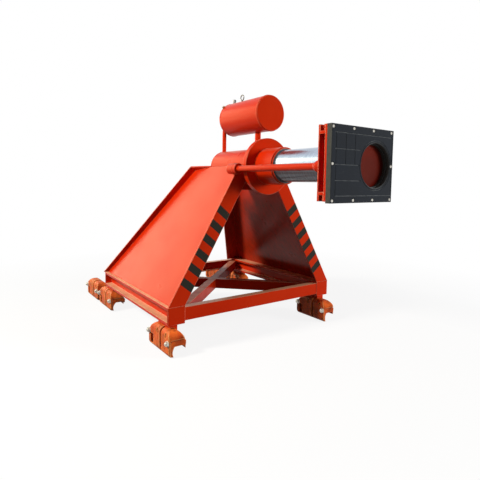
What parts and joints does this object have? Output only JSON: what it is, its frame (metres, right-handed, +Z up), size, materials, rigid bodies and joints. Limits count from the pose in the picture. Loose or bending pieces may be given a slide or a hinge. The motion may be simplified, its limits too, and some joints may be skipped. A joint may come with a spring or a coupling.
{
  "type": "sliding railway buffer stop",
  "caption": "Sliding friction buffer stop: a braced steel A frame clamped on both rails, with a hydraulic buffer whose rubber faced head slides back on two guide rods.",
  "frame": {"origin": "centre of the footprint, at the level that the clamp jaws reach down to", "axes": "+X points at the oncoming train, along the track, +Z is up, and +Y is across the track to the left of the stop"},
  "size_m": [3.064, 1.7034, 2.01],
  "materials": {
    "red_paint": "glossy orange red enamel on welded steel, with dust and small scratches",
    "clamp_orange": "orange enamel on rough castings, worn and dirty",
    "bolt_steel": "zinc plated steel",
    "chrome": "polished hard chrome",
    "rubber": "moulded black rubber"
  },
  "bodies": {
    "frame": {"barrel": "red_paint", "barrel_cap": "red_paint", "barrel_saddles": "red_paint", "brace_halves": "red_paint", "brace_through": "red_paint", "clamp_bolts": "bolt_steel", "clamp_hangers": "red_paint", "filler_plug": "bolt_steel", "front_cross_beam": "red_paint", "front_flange_left": "red_paint", "front_flange_right": "red_paint", "gland_collar": "red_paint", "guide_sleeve_left": "red_paint", "guide_sleeve_right": "red_paint", "lifting_eye": "bolt_steel", "mounting_disc": "red_paint", "rail_clamp_front_left": "clamp_orange", "rail_clamp_front_right": "clamp_orange", "rail_clamp_rear_1_left": "clamp_orange", "rail_clamp_rear_1_right": "clamp_orange", "rail_clamp_rear_2_left": "clamp_orange", "rail_clamp_rear_2_right": "clamp_orange", "rear_cross_beam": "red_paint", "rear_flange_left": "red_paint", "rear_flange_right": "red_paint", "side_beam_left": "red_paint", "side_beam_right": "red_paint", "side_panel_left": "red_paint", "side_panel_right": "red_paint", "tank_front_end": "red_paint", "tank_neck": "red_paint", "tank_valve": "red_paint", "tank_pipe": "red_paint", "tank_rear_end": "red_paint", "tank_shell": "red_paint", "top_gussets": "red_paint"},
    "head": {"plunger": "chrome", "guide_rod_right": "red_paint", "guide_rod_left": "red_paint", "head_back_plate": "red_paint", "head_channels": "red_paint", "head_uprights": "red_paint", "head_front_plate": "red_paint", "rubber_face": "rubber"}
  },
  "joints": [
    {"name": "buffer_stroke", "type": "slide", "parent": "frame", "child": "head", "axis": [1, 0, 0], "range_m": [-0.45, 0], "stiffness_N_per_m": 9000, "springref_m": 0.06}
  ]
}
